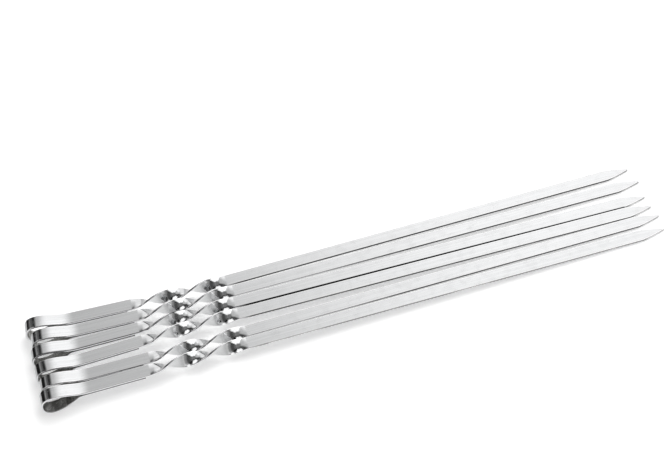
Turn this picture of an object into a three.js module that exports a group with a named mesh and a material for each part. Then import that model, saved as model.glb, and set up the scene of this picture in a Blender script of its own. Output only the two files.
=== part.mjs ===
// Six flat kebab skewers lying side by side on a table.
//
// Each skewer is one strip of stainless steel. From the tip it runs as a pointed blade, then as one full
// left-handed twist, then as a plain handle. At the handle's end the strip is bent into a teardrop loop, and
// its tail comes back under the handle as far as the twist. A skewer rests on the belly of its loop and on
// its tip, so it slopes down a little towards the tip.
//
// Millimetres, +X towards the tips, +Y away from the near skewer, +Z up. The origin is at the middle of the
// row, on the table.

import * as THREE from "three";

// The strip
const strip_width = 12;
const strip_thickness = 1.8;
const edge_chamfer = 0.35;

// Along a skewer
const overall_length = 550;
const twist_length = 85;
const handle_length = 58;
const loop_length = 36;
const turns = 1;

// The point of the blade
const point_length = 21;
const point_end_width = 0.9;
const point_fullness_share = 0.35;

// The loop, measured from the middle of the handle's thickness
const crown_rise = 5;
const belly_drop = 13;
const nose_drop = 4.5;
const neck_bend_radius = 4;
const crown_angle = THREE.MathUtils.degToRad(26);
const belly_angle = THREE.MathUtils.degToRad(36);

// The tail that lies back under the handle
const tail_gap = 0.7;
const tail_setback = 4;

// The twist starts and stops over this part of its length
const twist_ease_share = 0.12;

// The row: the clear space between neighbours, from the far skewer to the near one, is the least gap and a
// share of the strip's width. It is set at the shoulder of the point, at the middle of the twist and at the
// end of the loop.
const least_gap = 0.5;
const shoulder_gap_shares = [0.37, 0.52, 0, 0.03, 0.27];
const twist_gap_shares = [0.05, 0, 0.08, 0.77, 0];
const loop_gap_shares = [0.27, 0.35, 0.55, 0.27, 0.15];
// How far each tip reaches past the first one, in widths of the strip
const tip_reach_shares = [0, 0.32, 0.14, 0.2, 0.4, 0.23];

// Places across the row, of which only the differences matter: the far skewer at the same three stations
const far_shoulder_share = 0.37;
const far_twist_share = 0;
const far_loop_share = 0.62;

// Facets
const bend_steps = 3;
const bow_steps = 15;
const twist_steps = 40;
const point_steps = 6;

const half_twist = twist_length / 2;
const blade_length = overall_length - twist_length - handle_length - loop_length;
const tip_x = half_twist + blade_length;
const shoulder_x = tip_x - point_length;
const neck_x = -half_twist - handle_length;
const nose_x = neck_x - loop_length + strip_thickness / 2;
const tail_z = -strip_thickness - tail_gap;

// A station of the strip: the middle of its section, the way its width points and the way its face points.
function station(middle, across, face, half_width = strip_width / 2) {
  return { middle, across, face, half_width };
}

// The side view of the tail, the loop and the handle, as one path in the plane of X and Z that runs from the
// tail's free end, round the loop and along the handle.
function handle_side_view() {
  const belly_bend = new THREE.Vector2(neck_x, tail_z - neck_bend_radius);
  const crown_bend = new THREE.Vector2(neck_x, neck_bend_radius);
  const belly_start = new THREE.Vector2(-Math.sin(belly_angle), Math.cos(belly_angle))
    .multiplyScalar(neck_bend_radius)
    .add(belly_bend);
  const crown_end = new THREE.Vector2(-Math.sin(crown_angle), -Math.cos(crown_angle))
    .multiplyScalar(neck_bend_radius)
    .add(crown_bend);
  const nose = new THREE.Vector2(nose_x, -nose_drop);

  // A cubic with end heights a and d has its middle at an eighth of a + 3b + 3c + d. The upright tangents at
  // the nose are as long as it takes for the middles of the two bows to reach the crown and the belly.
  const belly_pull = loop_length / 2;
  const crown_pull = loop_length * 2 / 5;
  const belly_low = belly_start.y - belly_pull * Math.sin(belly_angle);
  const crown_high = crown_end.y + crown_pull * Math.sin(crown_angle);
  const belly_nose = (-8 * belly_drop - belly_start.y - nose.y) / 3 - belly_low;
  const crown_nose = (8 * crown_rise - crown_end.y - nose.y) / 3 - crown_high;

  const belly = new THREE.CubicBezierCurve(
    belly_start,
    new THREE.Vector2(belly_start.x - belly_pull * Math.cos(belly_angle), belly_low),
    new THREE.Vector2(nose.x, belly_nose),
    nose,
  );
  const crown = new THREE.CubicBezierCurve(
    nose,
    new THREE.Vector2(nose.x, crown_nose),
    new THREE.Vector2(crown_end.x - crown_pull * Math.cos(crown_angle), crown_high),
    crown_end,
  );
  const down = Math.PI / 2 + belly_angle;
  const up = -Math.PI / 2 - crown_angle;
  const arc = (middle, from, to) =>
    new THREE.EllipseCurve(middle.x, middle.y, neck_bend_radius, neck_bend_radius, from, to, false);

  return [
    [new THREE.LineCurve(new THREE.Vector2(-half_twist - tail_setback, tail_z), new THREE.Vector2(neck_x, tail_z)), 1],
    [arc(belly_bend, Math.PI / 2, down), bend_steps],
    [belly, bow_steps],
    [crown, bow_steps],
    [arc(crown_bend, up, -Math.PI / 2), bend_steps],
    [new THREE.LineCurve(new THREE.Vector2(neck_x, 0), new THREE.Vector2(-half_twist, 0)), 1],
  ];
}

// The share of the twist that is done at a share of its length: it gathers speed, keeps it and slows again.
function eased(share) {
  const top_speed = 1 / (1 - twist_ease_share);
  const rising = (u) => (top_speed * u * u) / (2 * twist_ease_share);
  if (share < twist_ease_share) return rising(share);
  if (share > 1 - twist_ease_share) return 1 - rising(1 - share);
  return rising(twist_ease_share) + top_speed * (share - twist_ease_share);
}

// All stations of one skewer, with the middle of its twist at zero and its blade along +X. The handle turns
// off by a small angle, as no two of these hand-bent skewers are quite straight.
function skewer_stations(skew) {
  const stations = [];
  const up = new THREE.Vector3(0, 0, 1);
  const handle_way = new THREE.Vector3(Math.cos(skew), Math.sin(skew), 0);
  const handle_across = new THREE.Vector3().crossVectors(up, handle_way);

  const side_view = handle_side_view();
  side_view.forEach(([curve, steps], index) => {
    for (let step = index === 0 ? 0 : 1; step <= steps; step += 1) {
      const place = curve.getPoint(step / steps);
      const way = curve.getTangent(step / steps);
      stations.push(station(
        handle_way.clone().multiplyScalar(place.x).addScaledVector(up, place.y),
        handle_across.clone(),
        handle_way.clone().multiplyScalar(-way.y).addScaledVector(up, way.x),
      ));
    }
  });

  const axis = new THREE.QuadraticBezierCurve3(
    handle_way.clone().multiplyScalar(-half_twist),
    new THREE.Vector3(),
    new THREE.Vector3(half_twist, 0, 0),
  );
  for (let step = 1; step <= twist_steps; step += 1) {
    const share = step / twist_steps;
    const way = axis.getTangent(share);
    const turn = -2 * Math.PI * turns * eased(share);
    stations.push(station(
      axis.getPoint(share),
      new THREE.Vector3().crossVectors(up, way).applyAxisAngle(way, turn),
      up.clone().applyAxisAngle(way, turn),
    ));
  }

  // The blade's face is that of the twist's end. The point narrows a little slower near the shoulder.
  const last = stations[stations.length - 1];
  const least = point_end_width / 2;
  for (let step = 0; step <= point_steps; step += 1) {
    const share = step / point_steps;
    const taper = (1 - share) * (1 + point_fullness_share * share);
    stations.push(station(
      new THREE.Vector3(shoulder_x + point_length * share, 0, 0),
      last.across.clone(),
      last.face.clone(),
      least + (strip_width / 2 - least) * taper,
    ));
  }
  return stations;
}

// A closed skin through the sections of all stations: a rectangle with its corners cut.
function loft(stations) {
  const corners = stations.map(({ middle, across, face, half_width }) => {
    const half_height = strip_thickness / 2;
    const cut = Math.min(edge_chamfer, half_width / 2);
    const outline = [
      [half_width, cut - half_height],
      [half_width, half_height - cut],
      [half_width - cut, half_height],
      [cut - half_width, half_height],
      [-half_width, half_height - cut],
      [-half_width, cut - half_height],
      [cut - half_width, -half_height],
      [half_width - cut, -half_height],
    ];
    return outline.map(([side, height]) =>
      middle.clone().addScaledVector(across, side).addScaledVector(face, height));
  });
  const sides = corners[0].length;
  const places = corners.flat().flatMap((corner) => corner.toArray());
  const faces = [];
  for (let ring = 0; ring + 1 < corners.length; ring += 1) {
    for (let side = 0; side < sides; side += 1) {
      const a = ring * sides + side;
      const b = ring * sides + (side + 1) % sides;
      faces.push(a, b, a + sides, b, b + sides, a + sides);
    }
  }
  const end = (corners.length - 1) * sides;
  for (let side = 1; side + 1 < sides; side += 1) {
    faces.push(0, side + 1, side);
    faces.push(end, end + side, end + side + 1);
  }
  const geometry = new THREE.BufferGeometry();
  geometry.setAttribute("position", new THREE.Float32BufferAttribute(places, 3));
  geometry.setIndex(faces);
  geometry.computeVertexNormals();
  return geometry;
}

// The slope at which the tip and the belly of the loop both touch the table.
function resting_slope(geometry) {
  const place = new THREE.Vector3();
  const corners = geometry.getAttribute("position");
  let slope = 0;
  for (let index = 0; index < corners.count; index += 1) {
    place.fromBufferAttribute(corners, index);
    if (place.x < neck_x) {
      slope = Math.max(slope, Math.atan2(-strip_thickness / 2 - place.z, tip_x - place.x));
    }
  }
  return slope;
}

// Where each skewer's middle line lies across the row, at one of the three stations.
function across_row(far_share, gap_shares) {
  const places = [far_share * strip_width];
  gap_shares.forEach((share) => {
    places.push(places[places.length - 1] - strip_width - least_gap - share * strip_width);
  });
  return places;
}

const shoulder_y = across_row(far_shoulder_share, shoulder_gap_shares);
const twist_y = across_row(far_twist_share, twist_gap_shares);
const loop_y = across_row(far_loop_share, loop_gap_shares);

const steel = { color: 0xc6c7c8, metalness: 1, roughness: 0.28 };

const row = new THREE.Group();
tip_reach_shares.forEach((reach, index) => {
  const blade_heading = Math.atan2(shoulder_y[index] - twist_y[index], shoulder_x);
  const handle_heading = Math.atan2(twist_y[index] - loop_y[index], -nose_x);

  const geometry = loft(skewer_stations(handle_heading - blade_heading));
  const slope = resting_slope(geometry);
  geometry.rotateY(slope);
  geometry.computeBoundingBox();

  const skewer = new THREE.Mesh(geometry, new THREE.MeshStandardMaterial(steel));
  skewer.name = `skewer_${index + 1}`;
  skewer.rotation.z = blade_heading;
  skewer.position.set(reach * strip_width, twist_y[index], -geometry.boundingBox.min.z);
  row.add(skewer);
});

// The row's middle comes to the origin, with the table at the height of zero.
row.updateMatrixWorld(true);
const extent = new THREE.Box3().setFromObject(row, true);
const middle = extent.getCenter(new THREE.Vector3());
row.position.set(-middle.x, -middle.y, -extent.min.z);

export default row;
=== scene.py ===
"""Six flat kebab skewers in a row on a white table.

Each skewer is one strip of stainless steel: a pointed blade, one full twist, a plain handle and a teardrop
loop whose tail lies back under the handle. Metres, +X towards the tips, +Z up.
"""

import math
from collections import namedtuple

import bpy
from bpy.props import FloatProperty, FloatVectorProperty, PointerProperty
from bpy.types import Operator, Panel, PropertyGroup
from mathutils import Matrix, Quaternion, Vector


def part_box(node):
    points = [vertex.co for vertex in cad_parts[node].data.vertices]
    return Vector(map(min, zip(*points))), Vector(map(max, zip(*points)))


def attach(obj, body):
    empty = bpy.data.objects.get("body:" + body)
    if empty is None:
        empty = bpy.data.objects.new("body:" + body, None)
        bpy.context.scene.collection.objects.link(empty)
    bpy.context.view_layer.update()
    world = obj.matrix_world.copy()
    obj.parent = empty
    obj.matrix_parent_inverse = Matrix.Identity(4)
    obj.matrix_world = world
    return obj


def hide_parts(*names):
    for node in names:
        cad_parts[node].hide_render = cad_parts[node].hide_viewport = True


bl_info = {
    "name": "Kebab Skewers",
    "version": (1, 0, 0),
    "blender": (4, 5, 0),
    "location": "View3D > Sidebar > Skewers",
    "description": "Forms six flat steel skewers from strip and lays them on a white table",
    "category": "Object",
}

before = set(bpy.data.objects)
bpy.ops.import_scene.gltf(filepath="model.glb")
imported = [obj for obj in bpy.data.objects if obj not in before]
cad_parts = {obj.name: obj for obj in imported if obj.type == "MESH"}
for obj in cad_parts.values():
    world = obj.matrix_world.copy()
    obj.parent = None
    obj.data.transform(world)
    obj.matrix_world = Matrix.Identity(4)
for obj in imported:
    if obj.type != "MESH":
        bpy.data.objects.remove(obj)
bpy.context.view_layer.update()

UP = Vector((0, 0, 1))
QUARTER_TURN = math.pi / 2
SKEWER_COUNT = 6


# Sizes and colours


def length_setting(name, description, default):
    """A length in metres."""
    return FloatProperty(name=name, description=description, default=default, unit="LENGTH")


def share_setting(name, description, default):
    """A share of something, or a value that runs from nothing to full."""
    return FloatProperty(name=name, description=description, default=default, subtype="FACTOR")


def angle_setting(name, description, degrees):
    """An angle, which is given in degrees."""
    default = math.radians(degrees)
    return FloatProperty(name=name, description=description, default=default, subtype="ANGLE")


def list_setting(name, description, default, **kind):
    """Several numbers of one kind, such as one for each skewer."""
    size = len(default)
    return FloatVectorProperty(name=name, description=description, size=size, default=default, **kind)


def place_setting(name, description, default):
    """A place in the scene."""
    return list_setting(name, description, default, subtype="TRANSLATION")


def colour_setting(name, description, default):
    """A colour."""
    return list_setting(name, description, default, subtype="COLOR")


class StripSizes(PropertyGroup):
    """The strip and the lengths it is formed to."""

    width: length_setting("Width", "Width of the strip", 0.012)
    thickness: length_setting("Thickness", "Thickness of the strip", 0.0018)
    edge_radius: length_setting("Edge radius", "Rounding of the strip's long corners", 0.00035)
    length: length_setting("Length", "From the loop's nose to the tip", 0.55)
    twist_length: length_setting("Twist", "Length of the full twist", 0.085)
    handle_length: length_setting("Handle", "Flat part between the twist and the loop", 0.058)
    loop_length: length_setting("Loop", "Length of the teardrop loop", 0.036)
    twist_ease: share_setting("Twist ease", "Share of the twist over which it starts and stops", 0.134)
    twist_bite: share_setting("Twist bite", "Share of the full rate at which it leaves the jaws", 0.2)
    point_length: length_setting("Point", "Length of the tapered point", 0.021)
    point_end: length_setting("Point end", "Width left at the very tip", 0.0009)
    point_fullness: share_setting("Point fullness", "How far the point's sides bow outwards", 0.35)
    crown_rise: length_setting("Crown rise", "Top of the loop above the handle's middle", 0.0049)
    crown_start: length_setting("Crown start", "How far up the handle the loop's upper side begins", 0.007)
    crown_radius: length_setting("Crown bend", "Radius of the bend between handle and loop", 0.05)
    crown_angle: angle_setting("Crown angle", "How steeply the upper side leaves the handle", 17)
    crown_pull: length_setting("Crown pull", "How long the loop's upper side keeps its slope", 0.012)
    nose_drop: length_setting("Nose drop", "End of the loop below the handle's middle", 0.0045)
    belly_drop: length_setting("Belly drop", "Bottom of the loop below the handle's middle", 0.013)
    belly_radius: length_setting("Belly bend", "Radius of the bend between tail and loop", 0.006)
    belly_angle: angle_setting("Belly angle", "How steeply the lower side leaves the tail", 36)
    tail_gap: length_setting("Tail gap", "Clear space between handle and tail", 0.0007)
    tail_setback: length_setting("Tail setback", "How far the tail stops short of the twist", 0.004)


class RowPlaces(PropertyGroup):
    """Where the skewers lie, from the far one to the near one. Spaces are shares of the strip's width."""

    least_gap: length_setting("Least gap", "Clear space kept between any two skewers", 0.0005)
    point_gaps: list_setting("Point gaps", "Extra space at the points", (0.37, 0.52, 0, 0.03, 0.27))
    twist_gaps: list_setting("Twist gaps", "Extra space at the twists", (0.05, 0, 0.08, 0.77, 0))
    loop_gaps: list_setting("Loop gaps", "Extra space at the loops", (0.27, 0.35, 0.55, 0.27, 0.15))
    far_skewer: list_setting("Far skewer", "Where its point, twist and loop lie", (0.37, 0, 0.62))
    # Each skewer's cut edges stay lighter and smoother this far into the blade
    smooth_reach: list_setting(
        "Smooth reach",
        "How far past its twist each skewer's cut edges are smooth",
        (0.008, 0.14, 0.008, 0.008, 0.14, 0.008),
        unit="LENGTH",
    )
    # Painted light and shade: each skewer's near cut edge is coloured lighter or darker for the light that
    # reaches it between its neighbours
    edge_shine: list_setting(
        "Edge shine",
        "How bright each skewer's near cut edge is",
        (0.1, 0.12, 0.01, 0.16, 0.16, 0.5),
    )
    # Painted shade: the far cut edges all take this one tone
    far_edge_shine: share_setting("Far edge shine", "How bright the far cut edges are", 0.3)
    ground_shine: share_setting("Ground shine", "Least brightness of the points' ground edges", 0.5)


class SteelFinish(PropertyGroup):
    """Colours and roughness of the stainless steel."""

    steel: colour_setting("Steel", "Rolled face of the strip", (0.76, 0.765, 0.77))
    streak: colour_setting("Streak", "Darker streaks along the strip", (0.72, 0.725, 0.73))
    # Painted shade: the loop's inner face is coloured darker where shade falls, and darker still in patches
    film: colour_setting("Film", "Dull film left inside the loop", (0.5, 0.5, 0.49))
    soot: colour_setting("Soot", "Darker patches of that film", (0.22, 0.22, 0.21))
    worn: colour_setting("Worn corner", "Long corners rubbed bright", (0.96, 0.96, 0.96))
    # Painted shade: near-black on the long corners of a cut edge whose painted light is nil
    burr: colour_setting("Burr", "Corners that kept the dark burr of the shears", (0.05, 0.05, 0.05))
    # Tone of the lighter cut edges along the loop, handle and twist
    smooth_edge: colour_setting("Smooth edge", "Cut edge where a hand holds it", (0.85, 0.85, 0.86))
    roughness: share_setting("Roughness", "Of the rolled face", 0.075)
    grain_roughness: share_setting("Grain roughness", "Added by the grain", 0.035)
    mark_roughness: share_setting("Mark roughness", "Added where hands have marked the face", 0.05)
    scratch_roughness: share_setting("Scratch roughness", "Added in the scratches", 0.12)
    # Roughness added on the loop's inner face, where its colour carries painted shade
    film_roughness: share_setting("Film roughness", "Added by the film inside the loop", 0.15)
    edge_roughness: share_setting("Edge roughness", "Of the cut edges", 0.16)
    grain_depth: length_setting("Grain depth", "Depth of the grain on the rolled face", 0.000004)
    rib_depth: length_setting("Rib depth", "Depth of the ribs that the shears leave", 0.000006)


class StudioSettings(PropertyGroup):
    """The camera, the table and the light."""

    aim: place_setting("Aim", "The point on the table at the middle of the view", (0.00563, 0.06599, 0))
    distance: length_setting("Distance", "From the aim to the camera", 1.4295)
    azimuth: angle_setting("Azimuth", "Camera's turn round the table", -6.387)
    elevation: angle_setting("Elevation", "Camera's height above the table", 47.7)
    roll: angle_setting("Roll", "Camera's roll", -11.11)
    lens: FloatProperty(name="Lens", description="Focal length in millimetres", default=86.486)
    sensor: FloatProperty(name="Sensor", description="Width of the sensor in millimetres", default=36)
    table_reach: length_setting("Table reach", "From the middle of the table to its sides", 6.0)
    table_colour: colour_setting("Table", "Colour of the table", (0.72, 0.72, 0.72))
    table_lift: FloatProperty(
        name="Table lift",
        description="How many times lighter the camera sees the table, as in a generous exposure",
        default=1.85,
        min=1.0,
        max=4.0,
    )
    table_glow: share_setting("Table glow", "Added to the table as the camera sees it", 0.25)
    mirrored_glow: share_setting("Mirrored glow", "Added to the table as the steel mirrors it", 0.55)
    window_place: place_setting("Window", "Where the window stands", (0.5, 0.65, 1.4))
    window_width: length_setting("Window width", "Width of the window", 1.2)
    window_height: length_setting("Window height", "Height of the window", 1.0)
    window_power: FloatProperty(name="Window power", description="Its light in watts", default=4.5)


# The strip's line

# Into how many steps each stretch of the strip is cut
TAIL_STEPS = 8
BEND_STEPS = 8
BOW_STEPS = 56
HANDLE_STEPS = 10
TWIST_STEPS = 170
BLADE_STEPS = 36
POINT_STEPS = 18

# The painted shade on the loop's inner face, and the roughness added there, start this far past the neck
LOOP_SHADE_SETBACK = 0.001

# A section of the strip: its middle, the ways its width and its face point, half its width, and from 0 to 1
# how much lighter and smoother its cut edges are, whether it lies in the loop, where the inner face gets
# painted shade, and how brightly its edges are ground
Station = namedtuple("Station", "middle across face half_width held inside ground", defaults=(0.0,) * 3)


def cubic(ends, share):
    """Place and direction on a cubic curve with four control points."""
    a, b, c, d = ends
    left = 1 - share
    place = left**3 * a + 3 * left**2 * share * b + 3 * left * share**2 * c + share**3 * d
    way = left**2 * (b - a) + 2 * left * share * (c - b) + share**2 * (d - c)
    return place, way.normalized()


def arc(middle, radius, start, end, share):
    """Place and direction on an arc, run from the start angle to the end angle."""
    angle = start + (end - start) * share
    spoke = Vector((math.cos(angle), math.sin(angle)))
    turning = 1 if end > start else -1
    return middle + radius * spoke, turning * Vector((-spoke.y, spoke.x))


def line(start, end, share):
    """Place and direction on a straight line."""
    return start.lerp(end, share), (end - start).normalized()


def handle_side_view(strip):
    """The tail, the loop and the handle from the side: places and directions in the plane of X and Z."""
    half_twist = strip.twist_length / 2
    neck_x = -half_twist - strip.handle_length
    nose = Vector((neck_x - strip.loop_length + strip.thickness / 2, -strip.nose_drop))
    tail_z = -strip.thickness - strip.tail_gap

    belly_bend = Vector((neck_x, tail_z - strip.belly_radius))
    belly_out = Vector((-math.sin(strip.belly_angle), math.cos(strip.belly_angle)))
    belly_start = belly_bend + strip.belly_radius * belly_out
    crown_bend = Vector((neck_x + strip.crown_start, strip.crown_radius))
    crown_out = Vector((-math.sin(strip.crown_angle), -math.cos(strip.crown_angle)))
    crown_end = crown_bend + strip.crown_radius * crown_out

    # The middle of a cubic lies at an eighth of a + 3b + 3c + d, which sets the pull at the nose
    belly_pull = strip.loop_length / 2
    belly_low = belly_start.y - belly_pull * math.sin(strip.belly_angle)
    crown_high = crown_end.y + strip.crown_pull * math.sin(strip.crown_angle)
    belly_nose = (-8 * strip.belly_drop - belly_start.y - nose.y) / 3 - belly_low
    crown_nose = (8 * strip.crown_rise - crown_end.y - nose.y) / 3 - crown_high
    belly = (
        belly_start,
        Vector((belly_start.x - belly_pull * math.cos(strip.belly_angle), belly_low)),
        Vector((nose.x, belly_nose)),
        nose,
    )
    crown = (
        nose,
        Vector((nose.x, crown_nose)),
        Vector((crown_end.x - strip.crown_pull * math.cos(strip.crown_angle), crown_high)),
        crown_end,
    )

    tail = (Vector((-half_twist - strip.tail_setback, tail_z)), Vector((neck_x, tail_z)))
    handle = (Vector((neck_x + strip.crown_start, 0)), Vector((-half_twist, 0)))
    belly_turn = (QUARTER_TURN, QUARTER_TURN + strip.belly_angle)
    crown_turn = (-QUARTER_TURN - strip.crown_angle, -QUARTER_TURN)
    stretches = (
        (TAIL_STEPS, lambda share: line(*tail, share)),
        (BEND_STEPS, lambda share: arc(belly_bend, strip.belly_radius, *belly_turn, share)),
        (BOW_STEPS, lambda share: cubic(belly, share)),
        (BOW_STEPS, lambda share: cubic(crown, share)),
        (BEND_STEPS, lambda share: arc(crown_bend, strip.crown_radius, *crown_turn, share)),
        (HANDLE_STEPS, lambda share: line(*handle, share)),
    )
    found = [line(*tail, 0)]
    for steps, at in stretches:
        found += [at(step / steps) for step in range(1, steps + 1)]
    return found


def twisted(share, ease, bite):
    """The share of the twist that is done: it gathers speed from the jaws, keeps it and slows again."""
    top_speed = 1 / (1 - ease * (1 - bite))

    def rising(done):
        return top_speed * (bite * done + (1 - bite) * done * done / (2 * ease))

    if share < ease:
        return rising(share)
    if share > 1 - ease:
        return 1 - rising(1 - share)
    return rising(ease) + top_speed * (share - ease)


def still_smooth(past, smooth_reach):
    """How much lighter and smoother the cut edges are past the twist: wholly for a third of the reach, then
    less and less.
    """
    return min(max(1.5 * (1 - past / smooth_reach), 0.0), 1.0)


def loop_stations(strip, skew):
    """The sections of the tail, the loop and the handle, which turn off from the blade by a small angle."""
    handle_way = Vector((math.cos(skew), math.sin(skew), 0))
    loop_shade_start = -strip.twist_length / 2 - strip.handle_length - LOOP_SHADE_SETBACK
    return [
        Station(
            middle=handle_way * place.x + UP * place.y,
            across=UP.cross(handle_way),
            face=handle_way * -way.y + UP * way.x,
            half_width=strip.width / 2,
            held=1.0,
            # The loop's inner face gets painted shade from here on
            inside=float(place.x < loop_shade_start),
        )
        for place, way in handle_side_view(strip)
    ]


def twist_stations(strip, skew, smooth_reach):
    """The sections of the twist, whose middle line bends from the handle's heading to the blade's."""
    start = Vector((math.cos(skew), math.sin(skew), 0)) * (-strip.twist_length / 2)
    end = Vector((strip.twist_length / 2, 0, 0))
    stations = []
    for step in range(1, TWIST_STEPS + 1):
        share = step / TWIST_STEPS
        middle = start * (1 - share) ** 2 + end * share**2
        way = (end * share - start * (1 - share)).normalized()
        turn = Quaternion(way, -2 * math.pi * twisted(share, strip.twist_ease, strip.twist_bite))
        held = still_smooth((share - 1) * strip.twist_length, smooth_reach)
        stations.append(Station(middle, turn @ UP.cross(way), turn @ UP, strip.width / 2, held))
    return stations


def blade_stations(strip, smooth_reach):
    """The sections of the blade and its point, which is ground to its full brightness within a third."""
    half_twist = strip.twist_length / 2
    shoulder = strip.length - strip.handle_length - strip.loop_length - half_twist - strip.point_length
    across = Vector((0, 1, 0))
    stations = []
    for step in range(1, BLADE_STEPS + 1):
        reach = half_twist + (shoulder - half_twist) * step / BLADE_STEPS
        held = still_smooth(reach - half_twist, smooth_reach)
        stations.append(Station(Vector((reach, 0, 0)), across, UP, strip.width / 2, held))
    for step in range(1, POINT_STEPS + 1):
        share = step / POINT_STEPS
        taper = (1 - share) * (1 + strip.point_fullness * share)
        stations.append(Station(
            middle=Vector((shoulder + strip.point_length * share, 0, 0)),
            across=across,
            face=UP,
            half_width=strip.point_end / 2 + (strip.width - strip.point_end) / 2 * taper,
            ground=min(3 * share, 1.0),
        ))
    return stations


def strip_stations(strip, skew, smooth_reach):
    """Every section of one skewer, with the middle of its twist at zero and its blade along +X."""
    return (
        loop_stations(strip, skew)
        + twist_stations(strip, skew, smooth_reach)
        + blade_stations(strip, smooth_reach)
    )


# The strip's skin

# Into how many steps each long corner is cut, and where the extra lines on a wide face lie
CORNER_STEPS = 8
FACE_LINES = (0.06, 0.3, 0.5, 0.7, 0.94)

# A place on a section's outline: where it lies, the way it faces, how far round it is, 1 for a place on a
# corner, and the material slot of the face that starts here: 0 for the rolled steel, 1 for the cut edge
Spot = namedtuple("Spot", "side height out_side out_height girth edge cut")


def section(half_width, strip):
    """The outline of a section, once round from the upper far corner, and its whole length."""
    radius = min(strip.edge_radius, half_width / 2)
    side_reach = half_width - radius
    height_reach = strip.thickness / 2 - radius
    centres = (
        (side_reach, height_reach, QUARTER_TURN),
        (-side_reach, height_reach, 2 * QUARTER_TURN),
        (-side_reach, -height_reach, 3 * QUARTER_TURN),
        (side_reach, -height_reach, 4 * QUARTER_TURN),
    )
    outline = []
    girth = 0.0
    for index, (side, height, heading) in enumerate(centres):
        before_wide_face = index % 2 == 0
        for step in range(CORNER_STEPS + 1):
            angle = heading - QUARTER_TURN + QUARTER_TURN * step / CORNER_STEPS
            out = (math.cos(angle), math.sin(angle))
            cut = int((step < CORNER_STEPS / 2) == before_wide_face)
            outline.append(Spot(side + radius * out[0], height + radius * out[1], *out, girth, 1.0, cut))
            if step < CORNER_STEPS:
                girth += radius * QUARTER_TURN / CORNER_STEPS

        # The flat that leads from this corner to the next one, where a cut edge needs no extra lines
        out = (math.cos(heading), math.sin(heading))
        next_side, next_height, _ = centres[(index + 1) % len(centres)]
        start = Vector((side + radius * out[0], height + radius * out[1]))
        end = Vector((next_side + radius * out[0], next_height + radius * out[1]))
        flat = (end - start).length
        for share in FACE_LINES if before_wide_face else ():
            outline.append(Spot(*start.lerp(end, share), *out, girth + flat * share, 0.0, 0))
        girth += flat
    return outline, girth


def ring_normals(before, after, outline, across, face):
    """The way each place of a ring faces, from its neighbours along the strip and round the section."""
    normals = []
    for start, end, spot in zip(before, after, outline):
        round_way = across * -spot.out_height + face * spot.out_side
        normals.append(round_way.cross(end - start).normalized())
    return normals


def skin_faces(outlines, on_map, normals):
    """The faces between the rings, with each corner's place on the map and normal, and each face's slot."""
    count = len(outlines[0])
    faces = []
    maps = []
    shading = []
    slots = []
    for ring in range(len(outlines) - 1):
        for place in range(count):
            corners = ((ring, place), (ring, place + 1), (ring + 1, place + 1), (ring + 1, place))
            faces.append([at * count + step % count for at, step in corners])
            maps += [on_map[at][step] for at, step in corners]
            shading += [normals[at][step % count] for at, step in corners]
            slots.append(outlines[ring][place].cut)
    return faces, maps, shading, slots


def set_wear(mesh, stations, outlines, row, index):
    """Gives each vertex the values that the materials read: its corner, how much lighter its cut edge is,
    whether it lies on the loop's inner face with its painted shade, and its cut edge's painted light and
    shade or the point's grinding.
    """
    near_shine = row.edge_shine[index]
    far_shine = row.far_edge_shine
    ground_shine = row.ground_shine
    # Values for wear, for the lighter edges and for painted light and shade, by attribute name
    wear = {"edge": [], "held": [], "inside": [], "shear": []}
    for station, outline in zip(stations, outlines):
        for spot in outline:
            # A near cut edge carries its skewer's painted light and shade, a far one the shared painted
            # tone; the ground point can be brighter
            shine = near_shine if spot.side < 0 else far_shine
            wear["edge"].append(spot.edge)
            wear["held"].append(station.held)
            wear["inside"].append(station.inside * float(spot.out_height < -0.5))
            wear["shear"].append(max(shine, ground_shine * station.ground))
    for name, values in wear.items():
        mesh.attributes.new(name, "FLOAT", "POINT").data.foreach_set("value", values)


def strip_mesh(name, stations, strip, row, index, turn):
    """One skewer's closed skin, with its own normals and a map of the lengths along and round the strip."""
    outlines, girths = zip(*(section(station.half_width, strip) for station in stations))
    rings = [
        [
            turn @ (station.middle + station.across * spot.side + station.face * spot.height)
            for spot in outline
        ]
        for station, outline in zip(stations, outlines)
    ]
    last = len(rings) - 1
    spin = turn.to_3x3()
    normals = [
        ring_normals(
            rings[max(ring - 1, 0)],
            rings[min(ring + 1, last)],
            outlines[ring],
            spin @ station.across,
            spin @ station.face,
        )
        for ring, station in enumerate(stations)
    ]

    # Each skewer's map starts elsewhere, so that no two have the same grain
    travelled = [index * strip.length * 2]
    for one, two in zip(stations, stations[1:]):
        travelled.append(travelled[-1] + (two.middle - one.middle).length)
    on_map = [
        [(along, spot.girth) for spot in outline] + [(along, girth)]
        for along, outline, girth in zip(travelled, outlines, girths)
    ]
    faces, maps, shading, slots = skin_faces(outlines, on_map, normals)

    # The two ends are flat and cut
    count = len(rings[0])
    for ring, order in ((0, -1), (last, 1)):
        faces.append(list(range(ring * count, (ring + 1) * count))[::order])
        maps += [(travelled[ring] + spot.height, spot.side) for spot in outlines[ring][::order]]
        shading += [spin @ stations[ring].across.cross(stations[ring].face) * order] * count
        slots.append(1)

    mesh = bpy.data.meshes.new(name)
    mesh.from_pydata([place for ring in rings for place in ring], [], faces)
    mesh.uv_layers.new(name="Strip").uv.foreach_set("vector", [value for place in maps for value in place])
    set_wear(mesh, stations, outlines, row, index)
    for polygon, slot in zip(mesh.polygons, slots):
        polygon.use_smooth = polygon.loop_total == 4
        polygon.material_index = slot
    mesh.normals_split_custom_set(shading)
    mesh.update()
    return mesh


# The row


def across_row(far_share, gaps, strip, row):
    """Each skewer's place across the row at one station."""
    places = [far_share * strip.width]
    for gap in gaps:
        places.append(places[-1] - strip.width - row.least_gap - gap * strip.width)
    return places


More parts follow.
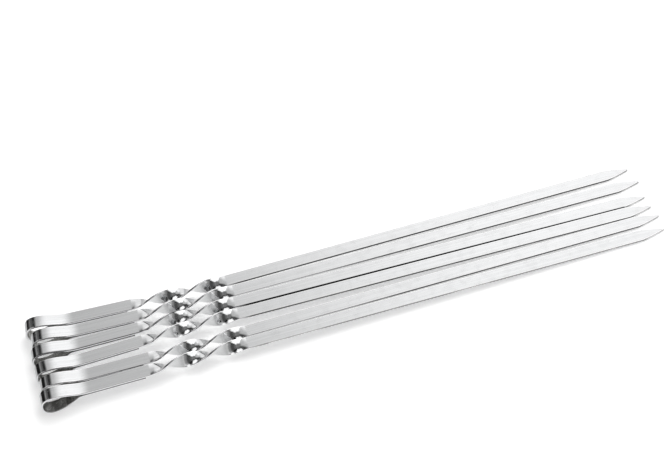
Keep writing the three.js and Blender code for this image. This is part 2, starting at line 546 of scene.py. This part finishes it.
def lay_of(index, strip, row):
    """One skewer's stations and its turn on the table."""
    blade_end = strip.length - strip.twist_length / 2 - strip.handle_length - strip.loop_length
    shoulder_x = blade_end - strip.point_length
    neck_x = -strip.twist_length / 2 - strip.handle_length
    nose_x = neck_x - strip.loop_length + strip.thickness / 2
    point_y, twist_y, loop_y = (
        across_row(far_share, gaps, strip, row)[index]
        for far_share, gaps in zip(row.far_skewer, (row.point_gaps, row.twist_gaps, row.loop_gaps))
    )
    heading = math.atan2(point_y - twist_y, shoulder_x)
    handle_heading = math.atan2(twist_y - loop_y, -nose_x)
    stations = strip_stations(strip, handle_heading - heading, row.smooth_reach[index])

    # The slope at which the tip and the belly of the loop both touch the table
    half_thickness = strip.thickness / 2
    slope = max(
        math.atan2(
            abs(station.face.z) * half_thickness - half_thickness - station.middle.z,
            blade_end - station.middle.x,
        )
        for station in stations
        if station.middle.x < neck_x
    )
    return stations, Matrix.Rotation(heading, 4, "Z") @ Matrix.Rotation(slope, 4, "Y")


def shift_to(node, mesh):
    """How far a mesh moves so that it lies in the middle of the CAD node's box and stands as low."""
    low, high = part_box(node)
    xs, ys, zs = zip(*(vertex.co for vertex in mesh.vertices))
    return Vector((
        (low.x + high.x - min(xs) - max(xs)) / 2,
        (low.y + high.y - min(ys) - max(ys)) / 2,
        low.z - min(zs),
    ))


def add_object(scene, name, data):
    """Puts a new object in the scene."""
    added = bpy.data.objects.new(name, data)
    scene.collection.objects.link(added)
    return added


class SKEWERS_OT_form_strips(Operator):
    """Form the six skewers from strip and set each on its CAD node"""

    bl_idname = "skewers.form_strips"
    bl_label = "Form Skewers"

    def execute(self, context):
        scene = context.scene
        strip = scene.skewer_strip
        row = scene.skewer_row
        finishes = (rolled_steel(scene.skewer_finish), cut_edge(scene.skewer_finish))
        for index in range(SKEWER_COUNT):
            node = f"skewer_{index + 1}"
            stations, turn = lay_of(index, strip, row)
            mesh = strip_mesh(node + "_strip", stations, strip, row, index, turn)
            for finish in finishes:
                mesh.materials.append(finish)
            piece = add_object(scene, node + "_strip", mesh)
            piece.location = shift_to(node, mesh)
            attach(piece, node)
            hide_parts(node)
        return {"FINISHED"}


# Nodes


def wire(tree, kind, inputs=None, **settings):
    """Adds a node. An input takes a value, or the output of another node."""
    node = tree.nodes.new(kind)
    for name, value in settings.items():
        setattr(node, name, value)
    for name, value in (inputs or {}).items():
        if isinstance(value, bpy.types.NodeSocket):
            tree.links.new(value, node.inputs[name])
        else:
            node.inputs[name].default_value = value
    return node


def calculate(tree, operation, *values):
    """The output of a Math node."""
    return wire(tree, "ShaderNodeMath", dict(enumerate(values)), operation=operation).outputs[0]


def smooth(tree, value, low, high, to_low=0.0, to_high=1.0):
    """The output of a Map Range node that eases from one value to another."""
    ends = {"Value": value, "From Min": low, "From Max": high, "To Min": to_low, "To Max": to_high}
    return wire(tree, "ShaderNodeMapRange", ends, interpolation_type="SMOOTHSTEP").outputs[0]


def opaque(colour):
    """A colour with its alpha. The output of another node stays as it is."""
    return colour if isinstance(colour, bpy.types.NodeSocket) else (*colour, 1)


def mix(tree, share, one, two):
    """The output of a colour Mix node. A colour may be the output of another node."""
    inputs = {"Factor": share, "A": opaque(one), "B": opaque(two)}
    return wire(tree, "ShaderNodeMix", inputs, data_type="RGBA").outputs["Result"]


def noise(tree, place, detail=2.0):
    """The output of a flat Noise node."""
    inputs = {"Vector": place, "Scale": 1.0, "Detail": detail}
    return wire(tree, "ShaderNodeTexNoise", inputs, noise_dimensions="2D").outputs["Fac"]


def stretched(tree, strip_map, along, across):
    """The strip's map, stretched by so many cells per metre along and across."""
    apart = wire(tree, "ShaderNodeSeparateXYZ", {"Vector": strip_map}).outputs
    place = {
        "X": calculate(tree, "MULTIPLY", apart["X"], along),
        "Y": calculate(tree, "MULTIPLY", apart["Y"], across),
    }
    return wire(tree, "ShaderNodeCombineXYZ", place).outputs["Vector"]


def attribute(tree, name):
    """The output of an Attribute node."""
    return wire(tree, "ShaderNodeAttribute", attribute_name=name).outputs["Fac"]


def shader_group(name, inputs, outputs):
    """A new node group, and the sockets of its two end nodes, which are given as names and kinds."""
    tree = bpy.data.node_groups.new(name, "ShaderNodeTree")
    for socket, kind in inputs.items():
        tree.interface.new_socket(socket, in_out="INPUT", socket_type="NodeSocket" + kind)
    for socket, kind in outputs.items():
        tree.interface.new_socket(socket, in_out="OUTPUT", socket_type="NodeSocket" + kind)
    return tree, tree.nodes.new("NodeGroupInput").outputs, tree.nodes.new("NodeGroupOutput").inputs


def new_material(name):
    """A new material with its node tree and its shader."""
    material = bpy.data.materials.new(name)
    material.use_nodes = True
    tree = material.node_tree
    return material, tree, tree.nodes["Principled BSDF"]


# Finishes


def lengthwise_grain():
    """Fine lines that run along the strip, as rolling and polishing leave them."""
    tree, given, result = shader_group(
        "Lengthwise grain",
        {"Strip map": "Vector", "Lines per metre": "Float", "Breaks per metre": "Float", "Detail": "Float"},
        {"Height": "Float"},
    )
    place = stretched(tree, given["Strip map"], given["Breaks per metre"], given["Lines per metre"])
    tree.links.new(noise(tree, place, given["Detail"]), result["Height"])
    return tree


def fine_scratches():
    """Thin lines at a slant to the strip, broken into short stretches."""
    tree, given, result = shader_group(
        "Fine scratches",
        {"Strip map": "Vector", "Slant": "Float", "Across per metre": "Float", "Width": "Float"},
        {"Mask": "Float"},
    )
    slanted = {"Vector": given["Strip map"], "Angle": given["Slant"]}
    turned = wire(tree, "ShaderNodeVectorRotate", slanted, rotation_type="Z_AXIS").outputs["Vector"]
    bends_per_metre = 30.0
    lines = noise(tree, stretched(tree, turned, bends_per_metre, given["Across per metre"]), 1.0)
    off_line = calculate(tree, "ABSOLUTE", calculate(tree, "SUBTRACT", lines, 0.5))
    on_line = smooth(tree, off_line, 0.0, given["Width"], 1.0, 0.0)
    fields_along, fields_across = 90.0, 160.0
    fields = noise(tree, stretched(tree, given["Strip map"], fields_along, fields_across))
    stretches = smooth(tree, fields, 0.55, 0.65)
    tree.links.new(calculate(tree, "MULTIPLY", on_line, stretches), result["Mask"])
    return tree


def patchy_wear():
    """Soft patches, as fingers, wiping and rubbing leave them."""
    tree, given, result = shader_group(
        "Patchy wear",
        {"Strip map": "Vector", "Patches per metre": "Float", "Starts at": "Float", "Full at": "Float"},
        {"Mask": "Float"},
    )
    closeness = given["Patches per metre"]
    patches = noise(tree, stretched(tree, given["Strip map"], closeness, closeness))
    tree.links.new(smooth(tree, patches, given["Starts at"], given["Full at"]), result["Mask"])
    return tree


def socket_name(name):
    """The name of a group or a socket, from the name that the script has for it."""
    return name.replace("_", " ").capitalize()


def place_group(tree, group, strip_map, **values):
    """Puts a node group in a material, and builds it at its first use. Values are named as sockets are."""
    name = socket_name(group.__name__)
    inputs = {"Strip map": strip_map}
    for value_name, value in values.items():
        inputs[socket_name(value_name)] = value
    built = bpy.data.node_groups.get(name) or group()
    return wire(tree, "ShaderNodeGroup", inputs, node_tree=built).outputs[0]


def rolled_steel(finish):
    """Cold-rolled stainless strip, with its grain along the strip, painted shade on the loop's inner face,
    and near-black painted shade on some long corners.
    """
    material, tree, shader = new_material("Rolled steel")
    strip_map = wire(tree, "ShaderNodeUVMap", uv_map="Strip").outputs["UV"]
    edge = attribute(tree, "edge")
    inside = attribute(tree, "inside")
    shear = attribute(tree, "shear")

    grain = lengthwise_grain
    fine = place_group(tree, grain, strip_map, lines_per_metre=5200, breaks_per_metre=60, detail=3)
    broad = place_group(tree, grain, strip_map, lines_per_metre=700, breaks_per_metre=6, detail=2)
    steep = place_group(tree, fine_scratches, strip_map, slant=0.5, across_per_metre=900, width=0.02)
    flat = place_group(tree, fine_scratches, strip_map, slant=-0.12, across_per_metre=1400, width=0.02)
    scratches = calculate(tree, "MAXIMUM", steep, flat)
    # Patches that give hand marks in the roughness and also vary the painted shade inside the loop
    marks_and_shade_patches = place_group(tree, patchy_wear, strip_map, patches_per_metre=110, starts_at=0.45, full_at=0.7)
    rubbed = place_group(tree, patchy_wear, strip_map, patches_per_metre=420, starts_at=0.25, full_at=0.5)

    # Streaks on the faces, and painted shade on the loop's inner face, darker in patches
    tone = mix(tree, smooth(tree, broad, 0.35, 0.65), finish.streak, finish.steel)
    tone = mix(tree, inside, tone, mix(tree, marks_and_shade_patches, finish.film, finish.soot))

    # The long corners get near-black painted shade where the edge's painted light is nil, and are rubbed
    # bright elsewhere
    bright = smooth(tree, shear, 0.0, 0.1)
    burr = smooth(tree, edge, 0.3, 0.6)
    burr = calculate(tree, "MULTIPLY", burr, calculate(tree, "SUBTRACT", 1.0, bright))
    tone = mix(tree, burr, tone, finish.burr)
    worn = calculate(tree, "MULTIPLY", smooth(tree, edge, 0.1, 1.0), bright)
    worn = calculate(tree, "MULTIPLY", worn, smooth(tree, rubbed, 0.0, 1.0, 0.7, 1.0))
    tree.links.new(mix(tree, worn, tone, finish.worn), shader.inputs["Base Color"])

    rough = smooth(tree, fine, 0.3, 0.7, finish.roughness, finish.roughness + finish.grain_roughness)
    rough = calculate(tree, "MULTIPLY_ADD", marks_and_shade_patches, finish.mark_roughness, rough)
    rough = calculate(tree, "MULTIPLY_ADD", scratches, finish.scratch_roughness, rough)
    rough = calculate(tree, "MULTIPLY_ADD", inside, finish.film_roughness, rough)
    tree.links.new(rough, shader.inputs["Roughness"])

    scratch_depth = -0.6
    height = calculate(tree, "MULTIPLY_ADD", scratches, scratch_depth, fine)
    bump = wire(tree, "ShaderNodeBump", {"Height": height, "Distance": finish.grain_depth, "Strength": 1.0})
    tangent = wire(tree, "ShaderNodeTangent", direction_type="UV_MAP", uv_map="Strip")
    tree.links.new(bump.outputs["Normal"], shader.inputs["Normal"])
    tree.links.new(tangent.outputs["Tangent"], shader.inputs["Tangent"])
    shader.inputs["Metallic"].default_value = 1
    shader.inputs["Anisotropic"].default_value = 0.75
    shader.inputs["Anisotropic Rotation"].default_value = 0.25
    return material


def cut_edge(finish):
    """The narrow sides of the strip: their tone is painted light and shade, set for each skewer's near edge
    and once for the far edges, brighter on the ground point, and lighter along the loop, handle and twist.
    """
    material, tree, shader = new_material("Cut edge")
    strip_map = wire(tree, "ShaderNodeUVMap", uv_map="Strip").outputs["UV"]
    held = attribute(tree, "held")
    shear = attribute(tree, "shear")

    grain = lengthwise_grain
    ribs = place_group(tree, grain, strip_map, lines_per_metre=350, breaks_per_metre=3200, detail=2)
    burnish = place_group(tree, patchy_wear, strip_map, patches_per_metre=45, starts_at=0.4, full_at=0.75)

    # The edge's tone: painted light and shade between the skewers, or the point's grinding, varied by
    # burnishing and ribs
    shine = calculate(tree, "MULTIPLY", shear, smooth(tree, burnish, 0.0, 1.0, 0.85, 1.5))
    shine = calculate(tree, "MULTIPLY", shine, smooth(tree, ribs, 0.3, 0.7, 0.8, 1.15))
    greys = dict.fromkeys(("Red", "Green", "Blue"), shine)
    dull = wire(tree, "ShaderNodeCombineColor", greys).outputs["Color"]
    # Lighter cut edges along the loop, handle and twist, and a little into the blade
    tree.links.new(mix(tree, held, dull, finish.smooth_edge), shader.inputs["Base Color"])

    rib_roughness = 0.1
    # Less rough where the cut edges are lighter
    lighter_edge_smoothing = -0.06
    rough = smooth(tree, ribs, 0.3, 0.7, finish.edge_roughness, finish.edge_roughness + rib_roughness)
    rough = calculate(tree, "MULTIPLY_ADD", held, lighter_edge_smoothing, rough)
    tree.links.new(rough, shader.inputs["Roughness"])
    bump = wire(tree, "ShaderNodeBump", {"Height": ribs, "Distance": finish.rib_depth, "Strength": 1.0})
    tree.links.new(bump.outputs["Normal"], shader.inputs["Normal"])
    shader.inputs["Metallic"].default_value = 1
    return material


def white_table(studio):
    """White table top that keeps the skewers' shadow."""
    material, tree, shader = new_material("White table")
    ray = wire(tree, "ShaderNodeLightPath").outputs
    lifted = [part * studio.table_lift for part in studio.table_colour]
    top = mix(tree, ray["Is Camera Ray"], studio.table_colour, lifted)
    tree.links.new(top, shader.inputs["Base Color"])

    # The steel mirrors the table brightly where it looks down on it, and less towards the table's far end
    mirrored = calculate(tree, "MAXIMUM", ray["Is Glossy Ray"], ray["Is Transmission Ray"])
    slant = wire(tree, "ShaderNodeLayerWeight", {"Blend": 0.5}).outputs["Facing"]
    steep = calculate(tree, "SUBTRACT", 1.0, slant)
    mirrored = calculate(tree, "MULTIPLY", mirrored, steep)
    mirrored = calculate(tree, "MULTIPLY", mirrored, studio.mirrored_glow)
    glow = calculate(tree, "MULTIPLY_ADD", ray["Is Camera Ray"], studio.table_glow, mirrored)
    tree.links.new(glow, shader.inputs["Emission Strength"])
    shader.inputs["Emission Color"].default_value = (1, 1, 1, 1)
    shader.inputs["Roughness"].default_value = 1.0
    shader.inputs["Specular IOR Level"].default_value = 0.0
    return material


# The studio

# Each panel of light: where it is centred and how far it reaches to each side, its lower and upper edge,
# the softness of its sides and of its upper and lower edge, all in degrees, and its strength. Azimuth zero
# lies behind the row, 90 on its right.
PANELS = (
    ("Back wall", 24, 38, 36, 74, 6, 5, 0.6),
    ("Back wall low", 22, 42, 0, 36, 6, 5, 1.0),
    ("Back screen", 35, 29, 36, 54, 13, 6, 0.64),
    ("Back left wall", -27, 13, -4, 25, 5, 5, 0.3),
    ("Right window", 88, 41, 34, 75, 7, 4, 1.35),
    ("Right wall", 95, 33, 0, 34, 7, 4, 0.6),
    ("Left strip light", -80, 32, 47, 70, 4, 3, 1.35),
    ("Left card", -130, 9, 12, 36, 3, 3, 0.95),
    ("Left wall", -102, 20, 0, 44, 6, 3, 0.45),
    ("Far corner ceiling", -33, 20, 49, 76, 8, 4, 0.05),
    ("Far corner", -33, 5, 34, 46, 2, 3, 0.12),
    ("Narrow card", -40, 3.5, 28, 39, 1.5, 2, 0.3),
    ("Front wall low", 177, 42, -8, 12, 6, 8, 0.4),
    ("Front wall middle", 177, 42, -8, 32, 6, 8, 0.28),
    ("Front corner", 232, 22, -8, 30, 8, 6, 0.3),
    ("Front wall", 180, 38, 32, 64, 6, 5, 0.07),
    ("Front ceiling", 180, 50, 62, 80, 8, 5, 0.13),
    ("Ceiling", 0, 200, 76, 120, 5, 5, 0.2),
)
PANEL_PLACES = ("Centre", "Reach", "Low", "High", "Side softness", "Edge softness")

# The light of the room between the panels
ROOM = 0.01


def light_panel():
    """A soft-sided field of the room, between two heights and so far to both sides of its centre."""
    tree, given, result = shader_group(
        "Light panel",
        dict.fromkeys(("Azimuth", "Elevation") + PANEL_PLACES, "Float"),
        {"Mask": "Float"},
    )

    def past(value, place, softness, *ends):
        low = calculate(tree, "SUBTRACT", place, softness)
        high = calculate(tree, "ADD", place, softness)
        return smooth(tree, value, low, high, *ends)

    apart = calculate(tree, "SUBTRACT", given["Azimuth"], given["Centre"])
    apart = calculate(tree, "ABSOLUTE", calculate(tree, "WRAP", apart, 180.0, -180.0))
    above = past(given["Elevation"], given["Low"], given["Edge softness"])
    below = past(given["Elevation"], given["High"], given["Edge softness"], 1.0, 0.0)
    within = past(apart, given["Reach"], given["Side softness"], 1.0, 0.0)
    mask = calculate(tree, "MULTIPLY", calculate(tree, "MULTIPLY", above, below), within)
    tree.links.new(mask, result["Mask"])
    return tree


def studio_world():
    """A dim room with screens and lamps round the table. The camera sees it white."""
    panel = light_panel()
    world = bpy.data.worlds.new("Studio")
    world.use_nodes = True
    tree = world.node_tree
    way = wire(tree, "ShaderNodeTexCoord").outputs["Generated"]
    axes = wire(tree, "ShaderNodeSeparateXYZ", {"Vector": way}).outputs
    azimuth = calculate(tree, "DEGREES", calculate(tree, "ARCTAN2", axes["X"], axes["Y"]))
    elevation = calculate(tree, "DEGREES", calculate(tree, "ARCSINE", axes["Z"]))
    light = ROOM
    for name, *places, strength in PANELS:
        inputs = {"Azimuth": azimuth, "Elevation": elevation, **dict(zip(PANEL_PLACES, places))}
        mask = wire(tree, "ShaderNodeGroup", inputs, node_tree=panel, label=name).outputs["Mask"]
        light = calculate(tree, "MULTIPLY_ADD", mask, strength, light)
    seen = wire(tree, "ShaderNodeLightPath").outputs["Is Camera Ray"]
    background = tree.nodes["Background"]
    background.inputs["Color"].default_value = (1, 1, 1, 1)
    tree.links.new(calculate(tree, "MAXIMUM", light, seen), background.inputs["Strength"])
    return world


def add_table(scene, studio):
    """The white table, which isn't part of the object."""
    reach = studio.table_reach
    corners = [(-reach, -reach, 0), (reach, -reach, 0), (reach, reach, 0), (-reach, reach, 0)]
    mesh = bpy.data.meshes.new("table")
    mesh.from_pydata(corners, [], [(0, 1, 2, 3)])
    mesh.materials.append(white_table(studio))
    add_object(scene, "table", mesh)


def add_window(scene, studio):
    """A soft window that faces the row and isn't mirrored in the steel."""
    lamp = add_object(scene, "window", bpy.data.lights.new("window", "AREA"))
    lamp.data.shape = "RECTANGLE"
    lamp.data.size = studio.window_width
    lamp.data.size_y = studio.window_height
    lamp.data.energy = studio.window_power
    place = Vector(studio.window_place)
    lamp.matrix_world = Matrix.Translation(place) @ place.to_track_quat("Z", "Y").to_matrix().to_4x4()
    lamp.visible_glossy = False


def add_camera(scene, studio):
    """The camera, which looks at its aim from so far, so high and so far round the table."""
    back = Vector((
        math.sin(studio.azimuth) * math.cos(studio.elevation),
        -math.cos(studio.azimuth) * math.cos(studio.elevation),
        math.sin(studio.elevation),
    ))
    level = UP.cross(back).normalized()
    rise = back.cross(level)
    right = level * math.cos(studio.roll) + rise * math.sin(studio.roll)
    up = rise * math.cos(studio.roll) - level * math.sin(studio.roll)
    camera = add_object(scene, "camera", bpy.data.cameras.new("camera"))
    place = Matrix.Translation(Vector(studio.aim) + back * studio.distance)
    camera.matrix_world = place @ Matrix((right, up, back)).transposed().to_4x4()
    camera.data.lens = studio.lens
    camera.data.sensor_width = studio.sensor
    camera.data.clip_start = 0.01
    camera.data.clip_end = 50
    scene.camera = camera


class SKEWERS_OT_set_stage(Operator):
    """Set the white table, the soft light and the camera"""

    bl_idname = "skewers.set_stage"
    bl_label = "Set Stage"

    def execute(self, context):
        scene = context.scene
        studio = scene.skewer_studio
        add_table(scene, studio)
        scene.world = studio_world()
        add_window(scene, studio)
        scene.view_settings.view_transform = "Standard"
        add_camera(scene, studio)
        return {"FINISHED"}


# The add-on


class SKEWERS_PT_build(Panel):
    """Lists the steps that build the skewers"""

    bl_idname = "SKEWERS_PT_build"
    bl_label = "Kebab Skewers"
    bl_space_type = "VIEW_3D"
    bl_region_type = "UI"
    bl_category = "Skewers"

    def draw(self, context):
        for operator in (SKEWERS_OT_set_stage, SKEWERS_OT_form_strips):
            self.layout.operator(operator.bl_idname)


CLASSES = (
    StripSizes,
    RowPlaces,
    SteelFinish,
    StudioSettings,
    SKEWERS_OT_form_strips,
    SKEWERS_OT_set_stage,
    SKEWERS_PT_build,
)
SETTINGS = {
    "skewer_strip": StripSizes,
    "skewer_row": RowPlaces,
    "skewer_finish": SteelFinish,
    "skewer_studio": StudioSettings,
}


def register():
    for cls in CLASSES:
        bpy.utils.register_class(cls)
    for name, group in SETTINGS.items():
        setattr(bpy.types.Scene, name, PointerProperty(type=group))


def unregister():
    for name in SETTINGS:
        delattr(bpy.types.Scene, name)
    for cls in reversed(CLASSES):
        bpy.utils.unregister_class(cls)


def main():
    register()
    bpy.ops.skewers.set_stage()
    bpy.ops.skewers.form_strips()


if __name__ == "__main__":
    main()
